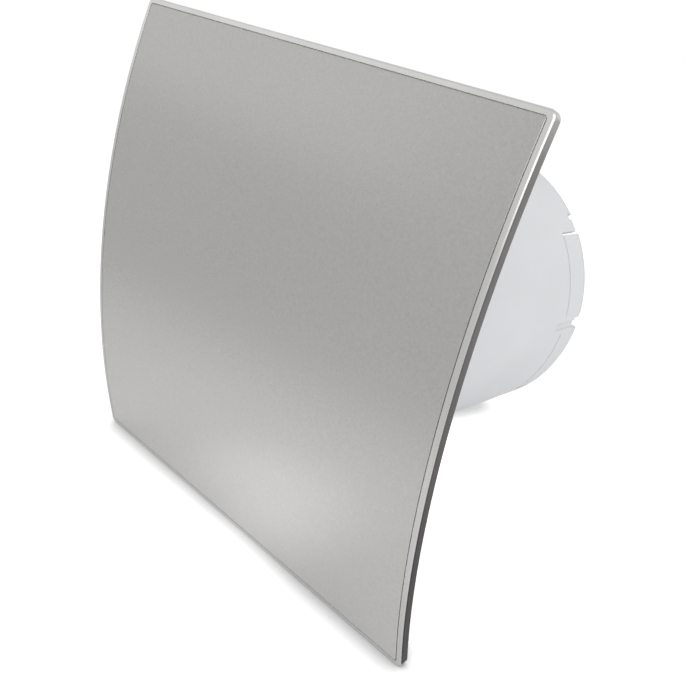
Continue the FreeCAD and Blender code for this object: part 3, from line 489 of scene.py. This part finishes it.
# the paper-white background: brighter to look at than it is as a light source
white = nt.nodes.new("ShaderNodeMath")
white.operation = "MULTIPLY"
white.inputs[1].default_value = LIGHTS["floor_white"]
nt.links.new(lpf.outputs["Is Camera Ray"], white.inputs[0])
white2 = nt.nodes.new("ShaderNodeMath")
white2.operation = "MULTIPLY"
nt.links.new(white.outputs[0], white2.inputs[0])
nt.links.new(painted_contact_shade.outputs["Result"], white2.inputs[1])
# painted light: a patch of extra camera-only white on the floor under the spigot, lifting the shade there
patch_d = nt.nodes.new("ShaderNodeVectorMath")
patch_d.operation = "DISTANCE"
patch_d.inputs[1].default_value = (0.022, 0.064, 0.0)
painted_light_patch = nt.nodes.new("ShaderNodeMapRange")
painted_light_patch.interpolation_type = "SMOOTHSTEP"
painted_light_patch.inputs["From Min"].default_value = 0.018
painted_light_patch.inputs["From Max"].default_value = 0.055
painted_light_patch.inputs["To Min"].default_value = LIGHTS["floor_painted_light_patch"]
painted_light_patch.inputs["To Max"].default_value = 0.0
patch2 = nt.nodes.new("ShaderNodeMath")
patch2.operation = "MULTIPLY"
patch3 = nt.nodes.new("ShaderNodeMath")
nt.links.new(tc.outputs["Object"], patch_d.inputs[0])
nt.links.new(patch_d.outputs["Value"], painted_light_patch.inputs["Value"])
nt.links.new(painted_light_patch.outputs["Result"], patch2.inputs[0])
nt.links.new(lpf.outputs["Is Camera Ray"], patch2.inputs[1])
nt.links.new(white2.outputs[0], patch3.inputs[0])
nt.links.new(patch2.outputs[0], patch3.inputs[1])
emi3 = nt.nodes.new("ShaderNodeEmission")
nt.links.new(patch3.outputs[0], emi3.inputs["Strength"])
add0 = nt.nodes.new("ShaderNodeAddShader")
nt.links.new(dif.outputs[0], add0.inputs[0])
nt.links.new(emi3.outputs[0], add0.inputs[1])
nt.links.new(add0.outputs[0], add.inputs[0])
nt.links.new(emi.outputs[0], add.inputs[1])
nt.links.new(mx.outputs[0], mix.inputs["Fac"])
nt.links.new(add.outputs[0], mix.inputs[1])
nt.links.new(tr.outputs[0], mix.inputs[2])
nt.links.new(mix.outputs[0], out.inputs["Surface"])
fm.materials.append(fmat)

# --------------------------------------------------------------------- lights
world = bpy.data.worlds.new("studio")
bpy.context.scene.world = world
world.use_nodes = True
wt = world.node_tree
wt.nodes.clear()
wo = wt.nodes.new("ShaderNodeOutputWorld")
b_cam = wt.nodes.new("ShaderNodeBackground")
b_cam.inputs["Color"].default_value = (1, 1, 1, 1)
b_cam.inputs["Strength"].default_value = 1.0
b_light = wt.nodes.new("ShaderNodeBackground")
b_light.inputs["Color"].default_value = (1, 1, 1, 1)
b_light.inputs["Strength"].default_value = LIGHTS["world"]
lp = wt.nodes.new("ShaderNodeLightPath")
wm = wt.nodes.new("ShaderNodeMixShader")
wt.links.new(lp.outputs["Is Camera Ray"], wm.inputs["Fac"])
wt.links.new(b_light.outputs[0], wm.inputs[1])
wt.links.new(b_cam.outputs[0], wm.inputs[2])
wt.links.new(wm.outputs[0], wo.inputs["Surface"])


def softbox(name, direction, dist, size, color=(1, 1, 1)):
    power = LIGHTS[name]
    if power <= 0:
        return
    d = Vector(direction).normalized()
    l = bpy.data.lights.new(name, "AREA")
    l.shape = "RECTANGLE"
    l.size, l.size_y = size
    l.energy = power
    l.color = color
    o = bpy.data.objects.new(name, l)
    bpy.context.scene.collection.objects.link(o)
    o.location = Vector((0, 0.01, -0.01)) + d * dist
    o.rotation_euler = d.to_track_quat("Z", "Y").to_euler()
    o.visible_camera = False


softbox("left_high", (-0.75, -0.55, 0.45), 0.9, (0.7, 0.6))
softbox("left", (-0.9, -0.45, 0.0), 0.9, (0.5, 0.4))
softbox("front", (-0.1, -1.0, 0.25), 0.9, (0.6, 0.5))
softbox("right_high", (0.7, -0.5, 0.6), 0.9, (0.9, 0.8))
softbox("rear_left", (-0.8, 0.75, 0.45), 0.9, (0.6, 0.5))
softbox("rear_high", (0.25, 0.95, 0.55), 0.9, (0.7, 0.6))
softbox("right_top", (0.55, 0.35, 0.85), 0.9, (0.6, 0.5))

vs_ = bpy.context.scene.view_settings
vs_.view_transform = "Standard"
vs_.look = "None"
